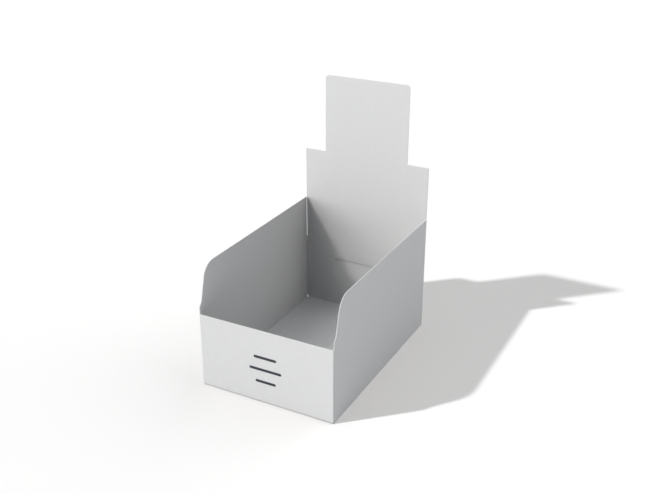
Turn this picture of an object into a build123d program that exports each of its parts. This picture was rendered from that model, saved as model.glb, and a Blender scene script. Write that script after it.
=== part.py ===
"""Counter display box: one die-cut board blank, folded into a tray with a raised back, glued and locked."""

import os
from math import pi, radians, tan

from build123d import *

os.makedirs("parts", exist_ok=True)

# Driving dimensions, in millimetres. The origin is the middle of the footprint, on the ground;
# +Z is up and the front panel faces -Y.

# Overall
WIDTH = 120.0  # over the two side walls
DEPTH = 176.5  # front face to the rear face of the back panel
FRONT_HEIGHT = 65.0  # ground to the top of the front panel
SIDE_RISE = 39.5  # side walls above the front panel
SHOULDER_RISE = 47.0  # back panel's shoulders above the side walls
HEADER_RISE = 69.5  # header above the shoulders
SHOULDER_WIDTH = 20.25  # outer face of a side wall to the header's edge
HEADER_CORNER_RADIUS = 3.5

# Board and folds
BOARD = 0.5  # thickness
FOLD_RADIUS = 0.25  # inside every right-angled fold

# Front edge of the side walls, above the front panel
NOSE_RISE = 6.5  # upright stretch that carries on above the front corner
NOSE_CHAMFER_RISE = 2.8
NOSE_CHAMFER_RUN = 2.8
SIDE_LEAN = 14.5  # degrees, from upright
SIDE_CORNER_RADIUS = 14.0

# Glue flap, behind the back panel at the left
GLUE_FLAP_WIDTH = 12.0
GLUE_FLAP_TAPER = 4.0  # each end, at the free edge
GLUE_FLAP_FOOT = 2.4  # ground to the lower end of its fold
GLUE_FLAP_CLEARANCE = 0.5  # upper end of its fold to where the back panel's left edge steps out
SEAM_GAP = 0.62  # rear edge of the left wall to the back panel, where there is no flap

# Lock flap at the rear of the floor, and the slot that its tab goes through
LOCK_FLAP_INSET = 15.5  # side wall's outer face to the flap's foot
LOCK_TAPER_RUN = 12.9  # how far each side of the flap draws in
LOCK_TAB_LENGTH = 17.5  # parallel stretch that leans back through the slot
LOCK_TIP_LENGTH = 12.0  # what lies behind the back panel
LOCK_TIP_RADIUS = 5.0
LOCK_EAR = 2.5  # how far each side of the tip hooks out past the tab
SLOT_HEIGHT = 47.5  # ground to the slot's upper edge
SLOT_CLEARANCE = 0.1  # beside the tab
SLIT_KERF = 0.2  # height of the cut for the tip's ears, at the slot's upper edge
SLIT_END_CLEARANCE = 0.9  # beside the ears
TUCK_CLEARANCE = 0.15  # lock flap to each face of the back panel

# Levels
side_height = FRONT_HEIGHT + SIDE_RISE
shoulder_height = side_height + SHOULDER_RISE
total_height = shoulder_height + HEADER_RISE

# Faces of the upright panels
half_width = WIDTH / 2
front_y = -DEPTH / 2
rear_y = DEPTH / 2
back_y = rear_y - BOARD
flap_rear_y = back_y - TUCK_CLEARANCE
flap_front_y = flap_rear_y - BOARD
tip_front_y = rear_y + TUCK_CLEARANCE
tip_rear_y = tip_front_y + BOARD

# A fold is a quarter ring between two flat panels, which start where it ends
fold_outer = FOLD_RADIUS + BOARD
crease_reach = (FOLD_RADIUS + BOARD / 2) * pi / 4  # from that end to the crease, laid flat
panel_edge_x = half_width - fold_outer
front_fold_y = front_y + fold_outer
rear_fold_y = rear_y - fold_outer
glue_fold_y = rear_y + BOARD - fold_outer
floor_rear_y = flap_rear_y - fold_outer

# Lock flap: its tab leans back through a slot of its own height
flap_foot_x = half_width - LOCK_FLAP_INSET
tab_x = flap_foot_x - LOCK_TAPER_RUN
tip_x = tab_x + LOCK_EAR
tab_foot = SLOT_HEIGHT - LOCK_TAB_LENGTH

# Corners of the side walls' front edge
nose_top = FRONT_HEIGHT + NOSE_RISE
chamfer_top = nose_top + NOSE_CHAMFER_RISE
chamfer_y = front_fold_y + NOSE_CHAMFER_RUN
lean_top_y = chamfer_y + (side_height - chamfer_top) * tan(radians(SIDE_LEAN))


def facing_front(y):
    """The upright plane at this depth, seen from the front: X to the right, Z up."""
    return Plane.XZ.offset(-y)


def upright(x, y, z):
    """The plane across an upright fold, about the fold's axis."""
    return Plane((x, y, z))


def level(x, y, z):
    """The plane across a fold that runs from left to right: Y ahead, Z up."""
    return Plane((x, y, z), x_dir=(0, 1, 0), z_dir=(1, 0, 0))


def fold_section(plane, quarter):
    """A fold's quarter ring about the plane's origin, in the quarter that the alignment gives."""
    with BuildSketch(plane) as section:
        Circle(fold_outer)
        Circle(FOLD_RADIUS, mode=Mode.SUBTRACT)
        Rectangle(fold_outer, fold_outer, align=quarter, mode=Mode.INTERSECT)
    return section.sketch


def side_wall_section(x, rear_edge):
    """A side wall's outline on the plane at x; rear_edge runs from the ground up to the top."""
    with BuildSketch(Plane.YZ.offset(x)) as section:
        with BuildLine():
            Polyline(
                (front_fold_y, 0),
                *rear_edge,
                (lean_top_y, side_height),
                (chamfer_y, chamfer_top),
                (front_fold_y, nose_top),
                close=True,
            )
        make_face()
        top_corners = section.vertices().group_by(Axis.Y)[-1]
        fillet(top_corners.sort_by(Axis.X)[0], radius=SIDE_CORNER_RADIUS)
    return section.sketch


def front_panel_section():
    """The front panel, above its fold to the floor."""
    with BuildSketch(facing_front(front_y)) as section:
        with Locations((0, fold_outer)):
            Rectangle(2 * panel_edge_x, FRONT_HEIGHT - fold_outer, align=(Align.CENTER, Align.MIN))
    return section.sketch


def back_panel_section():
    """The back panel, whose edges step out to the creases above the folds."""
    header_x = half_width - SHOULDER_WIDTH
    crease_x = panel_edge_x + crease_reach
    left_step = FRONT_HEIGHT + GLUE_FLAP_CLEARANCE
    with BuildSketch(facing_front(back_y)) as section:
        with BuildLine():
            Polyline(
                (-panel_edge_x, 0),
                (panel_edge_x, 0),
                (panel_edge_x, side_height),
                (crease_x, side_height),
                (crease_x, shoulder_height),
                (header_x, shoulder_height),
                (header_x, total_height),
                (-header_x, total_height),
                (-header_x, shoulder_height),
                (-crease_x, shoulder_height),
                (-crease_x, left_step),
                (-panel_edge_x, left_step),
                close=True,
            )
        make_face()
        fillet(section.vertices().group_by(Axis.Y)[-1], radius=HEADER_CORNER_RADIUS)
        slot_width = 2 * (tab_x + SLOT_CLEARANCE)
        slit_width = 2 * (tip_x + SLIT_END_CLEARANCE)
        with Locations((0, SLOT_HEIGHT)):
            hanging = (Align.CENTER, Align.MAX)
            Rectangle(slot_width, LOCK_TAB_LENGTH, align=hanging, mode=Mode.SUBTRACT)
            Rectangle(slit_width, SLIT_KERF, align=hanging, mode=Mode.SUBTRACT)
    return section.sketch


def glue_flap_section():
    """The glue flap against the rear of the back panel, tapered at both ends."""
    free_x = -half_width + GLUE_FLAP_WIDTH
    with BuildSketch(facing_front(rear_y)) as section:
        with BuildLine():
            Polyline(
                (-panel_edge_x, GLUE_FLAP_FOOT),
                (free_x, GLUE_FLAP_FOOT + GLUE_FLAP_TAPER),
                (free_x, FRONT_HEIGHT - GLUE_FLAP_TAPER),
                (-panel_edge_x, FRONT_HEIGHT),
                close=True,
            )
        make_face()
    return section.sketch


def floor_section():
    """The floor, between its folds to the front panel and to the lock flap."""
    with BuildSketch(Plane.XY) as section:
        with Locations((0, front_fold_y)):
            Rectangle(2 * panel_edge_x, floor_rear_y - front_fold_y, align=(Align.CENTER, Align.MIN))
    return section.sketch


def lock_flap_section():
    """The lock flap's tapered foot, in front of the back panel."""
    with BuildSketch(facing_front(flap_front_y)) as section:
        with BuildLine():
            Polyline(
                (-flap_foot_x, fold_outer),
                (flap_foot_x, fold_outer),
                (tab_x, tab_foot),
                (-tab_x, tab_foot),
                close=True,
            )
        make_face()
    return section.sketch


def tab_lean_section():
    """The tab's side profile, where it leans back through the slot."""
    with BuildSketch(Plane.YZ.offset(-tab_x)) as section:
        with BuildLine():
            Polyline(
                (flap_front_y, tab_foot),
                (flap_rear_y, tab_foot),
                (tip_rear_y, SLOT_HEIGHT),
                (tip_front_y, SLOT_HEIGHT),
                close=True,
            )
        make_face()
    return section.sketch


def tab_tip_section():
    """The tab's tip behind the back panel, a little wider than the tab."""
    with BuildSketch(facing_front(tip_front_y)) as section:
        with Locations((0, SLOT_HEIGHT)):
            Rectangle(2 * tip_x, LOCK_TIP_LENGTH, align=(Align.CENTER, Align.MIN))
        fillet(section.vertices().group_by(Axis.Y)[-1], radius=LOCK_TIP_RADIUS)
    return section.sketch


right_rear_edge = [(rear_fold_y, 0), (rear_fold_y, side_height)]

# The left wall reaches further back where it carries the glue flap
left_edge_y = back_y - SEAM_GAP
left_rear_edge = [
    (left_edge_y, 0),
    (left_edge_y, GLUE_FLAP_FOOT),
    (glue_fold_y, GLUE_FLAP_FOOT),
    (glue_fold_y, FRONT_HEIGHT),
    (left_edge_y, FRONT_HEIGHT),
    (left_edge_y, side_height),
]

with BuildPart() as display_box:
    # Front panel and the two upright folds to the side walls
    extrude(front_panel_section(), amount=-BOARD)
    left_corner = upright(-panel_edge_x, front_fold_y, fold_outer)
    right_corner = upright(panel_edge_x, front_fold_y, fold_outer)
    extrude(fold_section(left_corner, (Align.MAX, Align.MAX)), amount=FRONT_HEIGHT - fold_outer)
    extrude(fold_section(right_corner, (Align.MIN, Align.MAX)), amount=FRONT_HEIGHT - fold_outer)

    # Side walls
    extrude(side_wall_section(-half_width, left_rear_edge), amount=BOARD)
    extrude(side_wall_section(half_width, right_rear_edge), amount=-BOARD)

    # Back panel, on its fold to the right wall
    rear_corner = upright(panel_edge_x, rear_fold_y, 0)
    extrude(fold_section(rear_corner, (Align.MIN, Align.MIN)), amount=side_height)
    extrude(back_panel_section(), amount=-BOARD)

    # Glue flap, from the left wall to the rear of the back panel
    glue_corner = upright(-panel_edge_x, glue_fold_y, GLUE_FLAP_FOOT)
    extrude(fold_section(glue_corner, (Align.MAX, Align.MIN)), amount=FRONT_HEIGHT - GLUE_FLAP_FOOT)
    extrude(glue_flap_section(), amount=-BOARD)

    # Floor, on its fold to the front panel
    floor_corner = level(-panel_edge_x, front_fold_y, fold_outer)
    extrude(fold_section(floor_corner, (Align.MAX, Align.MAX)), amount=2 * panel_edge_x)
    extrude(floor_section(), amount=BOARD)

    # Lock flap, on its fold to the floor, and its tab through the slot
    lock_corner = level(-flap_foot_x, floor_rear_y, fold_outer)
    extrude(fold_section(lock_corner, (Align.MIN, Align.MAX)), amount=2 * flap_foot_x)
    extrude(lock_flap_section(), amount=-BOARD)
    extrude(tab_lean_section(), amount=2 * tab_x)
    extrude(tab_tip_section(), amount=-BOARD)

display_box.part.label = "display_box"
export_step(display_box.part, "parts/display_box.step")
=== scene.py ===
"""Looks of a counter display box: matt white folding board with plain printed bars, on a pale floor."""
from math import cos, pi, radians, sin

import bpy
from mathutils import Euler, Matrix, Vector
from mathutils.bvhtree import BVHTree


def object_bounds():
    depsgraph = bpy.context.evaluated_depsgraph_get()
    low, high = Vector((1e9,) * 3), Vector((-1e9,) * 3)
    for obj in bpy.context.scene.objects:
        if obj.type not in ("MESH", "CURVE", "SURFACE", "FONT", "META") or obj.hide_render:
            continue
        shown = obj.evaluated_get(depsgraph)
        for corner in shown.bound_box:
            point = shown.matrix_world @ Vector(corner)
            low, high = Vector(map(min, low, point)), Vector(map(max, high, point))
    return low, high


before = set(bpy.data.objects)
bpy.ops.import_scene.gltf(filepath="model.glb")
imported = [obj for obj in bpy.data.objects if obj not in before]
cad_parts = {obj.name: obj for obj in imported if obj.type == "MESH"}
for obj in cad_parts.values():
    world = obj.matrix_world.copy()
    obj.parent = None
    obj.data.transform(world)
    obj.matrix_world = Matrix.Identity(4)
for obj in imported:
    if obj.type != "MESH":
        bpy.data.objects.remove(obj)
cad_low, cad_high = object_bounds()

# The board, in metres
BOARD = 0.0005
FOLD_RADIUS = 0.0005  # at the middle of the board
FOLD_INSET = BOARD / 2 + FOLD_RADIUS  # from a panel's outer face to the middle of its fold
BACK_PANEL = 0.0875  # Y of the back panel's folds
GLUE_FOLD = 0.0880  # Y of the fold behind the back panel, at the left wall
UPRIGHT_FOLD = (1, 1, 0)  # a fold's distance is measured across it, along these axes
LEVEL_FOLD = (0, 1, 1)
EDGE_DEPTH = 3 * BOARD  # a face with more board than this behind it is a cut edge
RAY_START = 0.000001  # behind a face

# Printed bars on the front panel, centred on it: height of the middle above the ground, and length
BAR_HEIGHT = 0.0024
BARS = [(0.0411, 0.0205), (0.0302, 0.0290), (0.0193, 0.0185)]
INK_DEPTH = 0.0001  # ink is only this close to the front face
INK_EDGE = 0.00006  # how softly a bar's outline ends

# Finishes: linear colours, and sizes in metres
BOARD_WHITE = (0.837, 0.837, 0.837, 1)
BOARD_SHADE = (0.597, 0.597, 0.598, 1)  # between its fibres, and where the board is thinner
CLOUD_SHARE = 0.2  # of the clouding in the board's tone; the rest is its fibres
CREASE_SHADE = (0.655, 0.655, 0.655, 1)
PAINTED_CONTACT_SHADOW = (0.450, 0.449, 0.447, 1)  # painted contact shadow on the fold at the front's foot, where it meets the floor
EDGE_WHITE = (0.765, 0.762, 0.756, 1)
EDGE_SHADE = (0.690, 0.685, 0.676, 1)
INK = (0.040, 0.044, 0.054, 1)
INK_PALE = (0.050, 0.055, 0.066, 1)
CLOUD_SIZE = 0.0035  # of the faint clouding in the board
CLOUD_NOISE = {"Detail": 3.0, "Roughness": 0.6}
FIBRE_SIZE = 0.00022
FIBRE_NOISE = {"Detail": 2.0, "Distortion": 1.2}
GRAIN = {"Cloud Scale": 1 / CLOUD_SIZE, "Fibre Scale": 1 / FIBRE_SIZE}
BOARD_GLOSS = 0.15  # uncoated, so far below the usual half
BOARD_ROUGHNESS = 0.56  # between the fibres
BOARD_ROUGHENING = 0.16  # on the fibres
EDGE_ROUGHNESS = 0.75
EDGE_ROUGHENING = 0.2
FIBRE_RELIEF = 0.000004
EDGE_RELIEF = 0.000015
CREASE_RELIEF = 0.00001
CREASE_WIDTH = 0.0009  # from the middle of a fold, as the next
# how far the painted contact shadow reaches from the middle of the fold at the front's foot
PAINTED_CONTACT_WIDTH = 0.0012

# Camera
EYE = Vector((0.32174, -0.59658, 0.40880))
VIEW_DOWN = radians(24.446)
VIEW_TURN = radians(27.895)
LENS_MM = 50
SENSOR_MM = 36

# Light: where each one comes from, as azimuth from +X and elevation
KEY_FROM = (radians(222.5), radians(48.4))
KEY_STRENGTH = 0.96
KEY_SOFTNESS = radians(6)
HALO_FROM = (radians(222.5), radians(55))  # the wide part of the key's glow
HALO_STRENGTH = 0.59
HALO_SOFTNESS = radians(26)
FRONT_FROM = (radians(233), radians(5))  # low and broad, on the key's side
FRONT_STRENGTH = 2.44
FRONT_SOFTNESS = radians(60)
FILL_FROM = (radians(45), radians(42))
FILL_STRENGTH = 0.87
FILL_SOFTNESS = radians(75)
SHADOW_FROM = (radians(222.5), radians(43.7))  # gives the floor its shadow, and reaches nothing else
SHADOW_STRENGTH = 2.13
SHADOW_SOFTNESS = radians(2)
GROUND_FROM = (radians(70), radians(18))  # low from behind, so the box softly shades the floor before it
GROUND_STRENGTH = 0.58
GROUND_SOFTNESS = radians(60)
OVERHEAD_STRENGTH = 0.57
OVERHEAD_TIGHTNESS = 4  # how fast it fades away from straight above
ROUND_ABOUT_STRENGTH = 0.155
WARM = (1.009, 1.0, 0.985)
COOL = (0.968, 0.997, 1.038)
PALE_COOL = (0.980, 0.998, 1.024)
LIGHT_BOUNCES = 1
SEEN_WHITE = (1, 1, 1, 1)  # of the studio, beyond the floor

# Floor
FLOOR_SIZE = 12.0
FLOOR_SEEN = (0.975, 0.944, 0.908, 1)  # comes out neutral under the cool lamps
FLOOR_SEEN_SHINE = 0.010
FLOOR_THROWN = (0.47, 0.47, 0.47, 1)  # in the light that it throws back on the box
FLOOR_THROWN_SHINE = 0.18


def node(tree, kind, inputs=None, **settings):
    """Adds a node, sets its properties, and sets or feeds each named input."""
    made = tree.nodes.new(kind)
    for name, value in settings.items():
        setattr(made, name, value)
    for name, value in (inputs or {}).items():
        if isinstance(value, bpy.types.NodeSocket):
            tree.links.new(value, made.inputs[name])
        else:
            made.inputs[name].default_value = value
    return made


def maths(tree, operation, *values):
    """The output of a math node."""
    return node(tree, "ShaderNodeMath", dict(enumerate(values)), operation=operation).outputs["Value"]


def vectors(tree, operation, output, *values):
    """One output of a vector math node."""
    return node(tree, "ShaderNodeVectorMath", dict(enumerate(values)), operation=operation).outputs[output]


def fade(tree, value, start, end):
    """One at start, falling smoothly to zero at end."""
    steps = {"Value": value, "From Min": start, "From Max": end, "To Min": 1.0, "To Max": 0.0}
    return node(tree, "ShaderNodeMapRange", steps, interpolation_type="SMOOTHSTEP").outputs["Result"]


def blend(tree, share, first, second):
    """The colour between two colours."""
    mix = node(tree, "ShaderNodeMix", {"Factor": share}, data_type="RGBA")
    for name, colour in (("A_Color", first), ("B_Color", second)):
        socket = next(s for s in mix.inputs if s.identifier == name)
        if isinstance(colour, bpy.types.NodeSocket):
            tree.links.new(colour, socket)
        else:
            socket.default_value = colour
    return next(s for s in mix.outputs if s.identifier == "Result_Color")


def new_group(name, inputs, outputs):
    """A shader node group; returns it with its inputs' sockets and its output node."""
    tree = bpy.data.node_groups.new(name, "ShaderNodeTree")
    for socket, kind in inputs.items():
        tree.interface.new_socket(socket, in_out="INPUT", socket_type=kind)
    for socket in outputs:
        tree.interface.new_socket(socket, in_out="OUTPUT", socket_type="NodeSocketFloat")
    return tree, tree.nodes.new("NodeGroupInput").outputs, tree.nodes.new("NodeGroupOutput")


def placed(tree, group, inputs):
    """A group's outputs, placed in a material with its own values."""
    return node(tree, "ShaderNodeGroup", inputs, node_tree=group).outputs


def new_material(name):
    """A material with an empty node tree, and the place on the object as metres."""
    material = bpy.data.materials.new(name)
    material.use_nodes = True
    tree = material.node_tree
    tree.nodes.clear()
    return material, tree, node(tree, "ShaderNodeTexCoord").outputs["Object"]


def board_fibres():
    """Faint clouding and fine fibres, both from zero to one."""
    inputs = {"Place": "NodeSocketVector", "Cloud Scale": "NodeSocketFloat", "Fibre Scale": "NodeSocketFloat"}
    tree, given, out = new_group("board fibres", inputs, ["Clouds", "Fibres"])
    clouds = {"Vector": given["Place"], "Scale": given["Cloud Scale"], **CLOUD_NOISE}
    fibres = {"Vector": given["Place"], "Scale": given["Fibre Scale"], **FIBRE_NOISE}
    tree.links.new(node(tree, "ShaderNodeTexNoise", clouds).outputs["Fac"], out.inputs["Clouds"])
    tree.links.new(node(tree, "ShaderNodeTexNoise", fibres).outputs["Fac"], out.inputs["Fibres"])
    return tree


def fold_crease():
    """How near a place is to a fold: one on it, zero at the given width from its middle."""
    inputs = {**dict.fromkeys(["Place", "Fold", "Across"], "NodeSocketVector"), "Width": "NodeSocketFloat"}
    tree, given, out = new_group("fold crease", inputs, ["Crease"])
    offset = vectors(tree, "SUBTRACT", "Vector", given["Place"], given["Fold"])
    across = vectors(tree, "MULTIPLY", "Vector", offset, given["Across"])
    distance = vectors(tree, "LENGTH", "Value", across)
    tree.links.new(fade(tree, distance, FOLD_RADIUS, given["Width"]), out.inputs["Crease"])
    return tree


def printed_bar():
    """A bar with round ends, in the plane of the front panel: one inside, zero outside."""
    inputs = dict.fromkeys(["Across", "Up", "Level", "Length"], "NodeSocketFloat")
    tree, given, out = new_group("printed bar", inputs, ["Ink"])
    straight = maths(tree, "MULTIPLY_ADD", given["Length"], 0.5, -BAR_HEIGHT / 2)
    along = maths(tree, "SUBTRACT", maths(tree, "ABSOLUTE", given["Across"]), straight)
    beyond = maths(tree, "MAXIMUM", along, 0.0)
    height = maths(tree, "SUBTRACT", given["Up"], given["Level"])
    squared = maths(tree, "MULTIPLY_ADD", height, height, maths(tree, "POWER", beyond, 2.0))
    distance = maths(tree, "SQRT", squared)
    ink = fade(tree, distance, BAR_HEIGHT / 2 - INK_EDGE, BAR_HEIGHT / 2 + INK_EDGE)
    tree.links.new(ink, out.inputs["Ink"])
    return tree


def any_of(tree, masks):
    """The strongest of several masks."""
    strongest = masks[0]
    for mask in masks[1:]:
        strongest = maths(tree, "MAXIMUM", strongest, mask)
    return strongest


def upright_folds():
    """A point on each fold at the box's corners."""
    left, right = cad_low.x + FOLD_INSET, cad_high.x - FOLD_INSET
    front = cad_low.y + FOLD_INSET
    return [(left, front, 0), (right, front, 0), (left, GLUE_FOLD, 0), (right, BACK_PANEL, 0)]


def foot_fold():
    """A point on the fold between the front panel and the floor."""
    return [(0, cad_low.y + FOLD_INSET, cad_low.z + FOLD_INSET)]


def near_folds(tree, crease, place, folds, across, width):
    """How near a place is to the nearest of several folds."""
    fixed = {"Place": place, "Across": across, "Width": width}
    return any_of(tree, [placed(tree, crease, {**fixed, "Fold": point})["Crease"] for point in folds])


def finish_board(tree, colour, roughness, relief, depth):
    """The board's matt surface."""
    bump = node(tree, "ShaderNodeBump", {"Height": relief, "Distance": depth})
    look = {"Base Color": colour, "Roughness": roughness, "Normal": bump.outputs["Normal"]}
    shader = node(tree, "ShaderNodeBsdfPrincipled", {**look, "Specular IOR Level": BOARD_GLOSS})
    node(tree, "ShaderNodeOutputMaterial", {"Surface": shader.outputs["BSDF"]})


def printed_board(fibres, crease, bar):
    """The board's faces: fibrous white, duller along the upright folds, with a painted contact shadow on the
    fold at the front's foot, and ink on the front panel.
    """
    material, tree, place = new_material("printed_board")
    grain = placed(tree, fibres, {"Place": place, **GRAIN})
    corners = near_folds(tree, crease, place, upright_folds(), UPRIGHT_FOLD, CREASE_WIDTH)
    # painted contact shadow: the fold at the front's foot is darkened where it meets the floor
    painted_contact_shadow = near_folds(tree, crease, place, foot_fold(), LEVEL_FOLD, PAINTED_CONTACT_WIDTH)
    creased = maths(tree, "MULTIPLY", corners, grain["Fibres"])
    parts = node(tree, "ShaderNodeSeparateXYZ", {0: place}).outputs
    sides = {"Across": parts["X"], "Up": parts["Z"]}
    bars = [placed(tree, bar, {**sides, "Level": z, "Length": length})["Ink"] for z, length in BARS]
    on_front = maths(tree, "LESS_THAN", parts["Y"], cad_low.y + INK_DEPTH)
    ink = maths(tree, "MULTIPLY", any_of(tree, bars), on_front)
    clouds = maths(tree, "MULTIPLY", grain["Clouds"], CLOUD_SHARE)
    tone = maths(tree, "MULTIPLY_ADD", grain["Fibres"], 1 - CLOUD_SHARE, clouds)
    white = blend(tree, tone, BOARD_SHADE, BOARD_WHITE)
    folded = blend(tree, painted_contact_shadow, blend(tree, creased, white, CREASE_SHADE), PAINTED_CONTACT_SHADOW)
    colour = blend(tree, ink, folded, blend(tree, grain["Fibres"], INK, INK_PALE))
    roughness = maths(tree, "MULTIPLY_ADD", grain["Fibres"], BOARD_ROUGHENING, BOARD_ROUGHNESS)
    relief = maths(tree, "MULTIPLY_ADD", creased, CREASE_RELIEF / FIBRE_RELIEF, grain["Fibres"])
    finish_board(tree, colour, roughness, relief, FIBRE_RELIEF)
    return material


def cut_edge(fibres):
    """The board's cut edges: bare fibres, rougher than the faces."""
    material, tree, place = new_material("cut_edge")
    grain = placed(tree, fibres, {"Place": place, **GRAIN})
    colour = blend(tree, grain["Fibres"], EDGE_SHADE, EDGE_WHITE)
    roughness = maths(tree, "MULTIPLY_ADD", grain["Fibres"], EDGE_ROUGHENING, EDGE_ROUGHNESS)
    finish_board(tree, colour, roughness, grain["Fibres"], EDGE_RELIEF)
    return material


def mark_cut_edges(mesh, slot):
    """Gives the slot's finish to each face that has a good depth of board behind it."""
    tree = BVHTree.FromPolygons([v.co for v in mesh.vertices], [p.vertices for p in mesh.polygons])
    for face in mesh.polygons:
        start = face.center - face.normal * RAY_START
        depth = tree.ray_cast(start, -face.normal)[3]
        if depth is not None and depth > EDGE_DEPTH:
            face.material_index = slot


def dress_box():
    """The folded sheet, with its finishes."""
    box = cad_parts["display_box"]
    fibres = board_fibres()
    finishes = box.data.materials
    finishes.clear()
    finishes.append(printed_board(fibres, fold_crease(), printed_bar()))
    finishes.append(cut_edge(fibres))
    mark_cut_edges(box.data, finishes.find("cut_edge"))
    return box


def shining(tree, colour, strength):
    """A matt surface that gives some light of its own."""
    matt = node(tree, "ShaderNodeBsdfDiffuse", {"Color": colour}).outputs["BSDF"]
    shine = node(tree, "ShaderNodeEmission", {"Strength": strength}).outputs["Emission"]
    return node(tree, "ShaderNodeAddShader", {0: matt, 1: shine}).outputs["Shader"]


def seen_rays(tree):
    """One for the rays that show a thing, straight on or mirrored; zero for those that only light."""
    path = node(tree, "ShaderNodeLightPath").outputs
    return any_of(tree, [path["Is Camera Ray"], path["Is Glossy Ray"], path["Is Transmission Ray"]])


def pale_floor():
    """White where it is seen; in the light that it throws back, greyer and more even."""
    material, tree, _ = new_material("pale_floor")
    shown = shining(tree, FLOOR_SEEN, FLOOR_SEEN_SHINE)
    thrown = shining(tree, FLOOR_THROWN, FLOOR_THROWN_SHINE)
    mix = node(tree, "ShaderNodeMixShader", {0: seen_rays(tree), 1: thrown, 2: shown}).outputs["Shader"]
    node(tree, "ShaderNodeOutputMaterial", {"Surface": mix})
    return material


def lay_floor():
    """The wide floor under the box."""
    bpy.ops.mesh.primitive_plane_add(size=FLOOR_SIZE, location=(0, 0, cad_low.z))
    floor = bpy.context.object
    floor.name = "floor"
    floor.data.materials.append(pale_floor())
    return floor


def towards(azimuth, elevation):
    """The direction in which a light is seen from the box."""
    return Vector((cos(azimuth) * cos(elevation), sin(azimuth) * cos(elevation), sin(elevation)))


def soft_sun(name, came_from, strength, softness, colour, reaches=None):
    """A lamp far away; softness is its width as an angle, and reaches is the one thing that it lights."""
    light = bpy.data.lights.new(name, "SUN")
    light.energy = strength
    light.angle = softness
    light.color = colour
    lamp = bpy.data.objects.new(name, light)
    lamp.rotation_euler = towards(*came_from).to_track_quat("Z", "Y").to_euler()
    if reaches:
        lamp.light_linking.receiver_collection = bpy.data.collections.new(name)
        lamp.light_linking.receiver_collection.objects.link(reaches)
    bpy.context.scene.collection.objects.link(lamp)


def studio():
    """Light from all round and more from above; plain white where it is seen past the floor."""
    world = bpy.data.worlds.new("studio")
    world.use_nodes = True
    tree = world.node_tree
    tree.nodes.clear()
    direction = node(tree, "ShaderNodeTexCoord").outputs["Generated"]
    up = maths(tree, "MAXIMUM", node(tree, "ShaderNodeSeparateXYZ", {0: direction}).outputs["Z"], 0.0)
    overhead = maths(tree, "POWER", up, OVERHEAD_TIGHTNESS)
    strength = maths(tree, "MULTIPLY_ADD", overhead, OVERHEAD_STRENGTH, ROUND_ABOUT_STRENGTH)
    sky = {"Color": (*COOL, 1), "Strength": strength}
    given = node(tree, "ShaderNodeBackground", sky).outputs["Background"]
    shown = node(tree, "ShaderNodeBackground", {"Color": SEEN_WHITE}).outputs["Background"]
    mix = node(tree, "ShaderNodeMixShader", {0: seen_rays(tree), 1: given, 2: shown}).outputs["Shader"]
    node(tree, "ShaderNodeOutputWorld", {"Surface": mix})
    return world


def set_lights(box, floor):
    """Soft shading on the box and a crisp shadow on the floor, from lamps of their own."""
    soft_sun("key", KEY_FROM, KEY_STRENGTH, KEY_SOFTNESS, WARM, reaches=box)
    soft_sun("halo", HALO_FROM, HALO_STRENGTH, HALO_SOFTNESS, WARM, reaches=box)
    soft_sun("front", FRONT_FROM, FRONT_STRENGTH, FRONT_SOFTNESS, WARM, reaches=box)
    soft_sun("fill", FILL_FROM, FILL_STRENGTH, FILL_SOFTNESS, PALE_COOL)
    soft_sun("shadow", SHADOW_FROM, SHADOW_STRENGTH, SHADOW_SOFTNESS, COOL, reaches=floor)
    soft_sun("ground", GROUND_FROM, GROUND_STRENGTH, GROUND_SOFTNESS, PALE_COOL, reaches=floor)
    bpy.context.scene.world = studio()
    bpy.context.scene.cycles.diffuse_bounces = LIGHT_BOUNCES


def set_camera():
    """Looks down at the box from the front right."""
    data = bpy.data.cameras.new("camera")
    data.lens = LENS_MM
    data.sensor_width = SENSOR_MM
    camera = bpy.data.objects.new("camera", data)
    camera.location = EYE
    camera.rotation_euler = Euler((pi / 2 - VIEW_DOWN, 0, VIEW_TURN))
    bpy.context.scene.collection.objects.link(camera)
    bpy.context.scene.camera = camera


set_lights(dress_box(), lay_floor())
set_camera()
bpy.context.scene.view_settings.view_transform = "Standard"
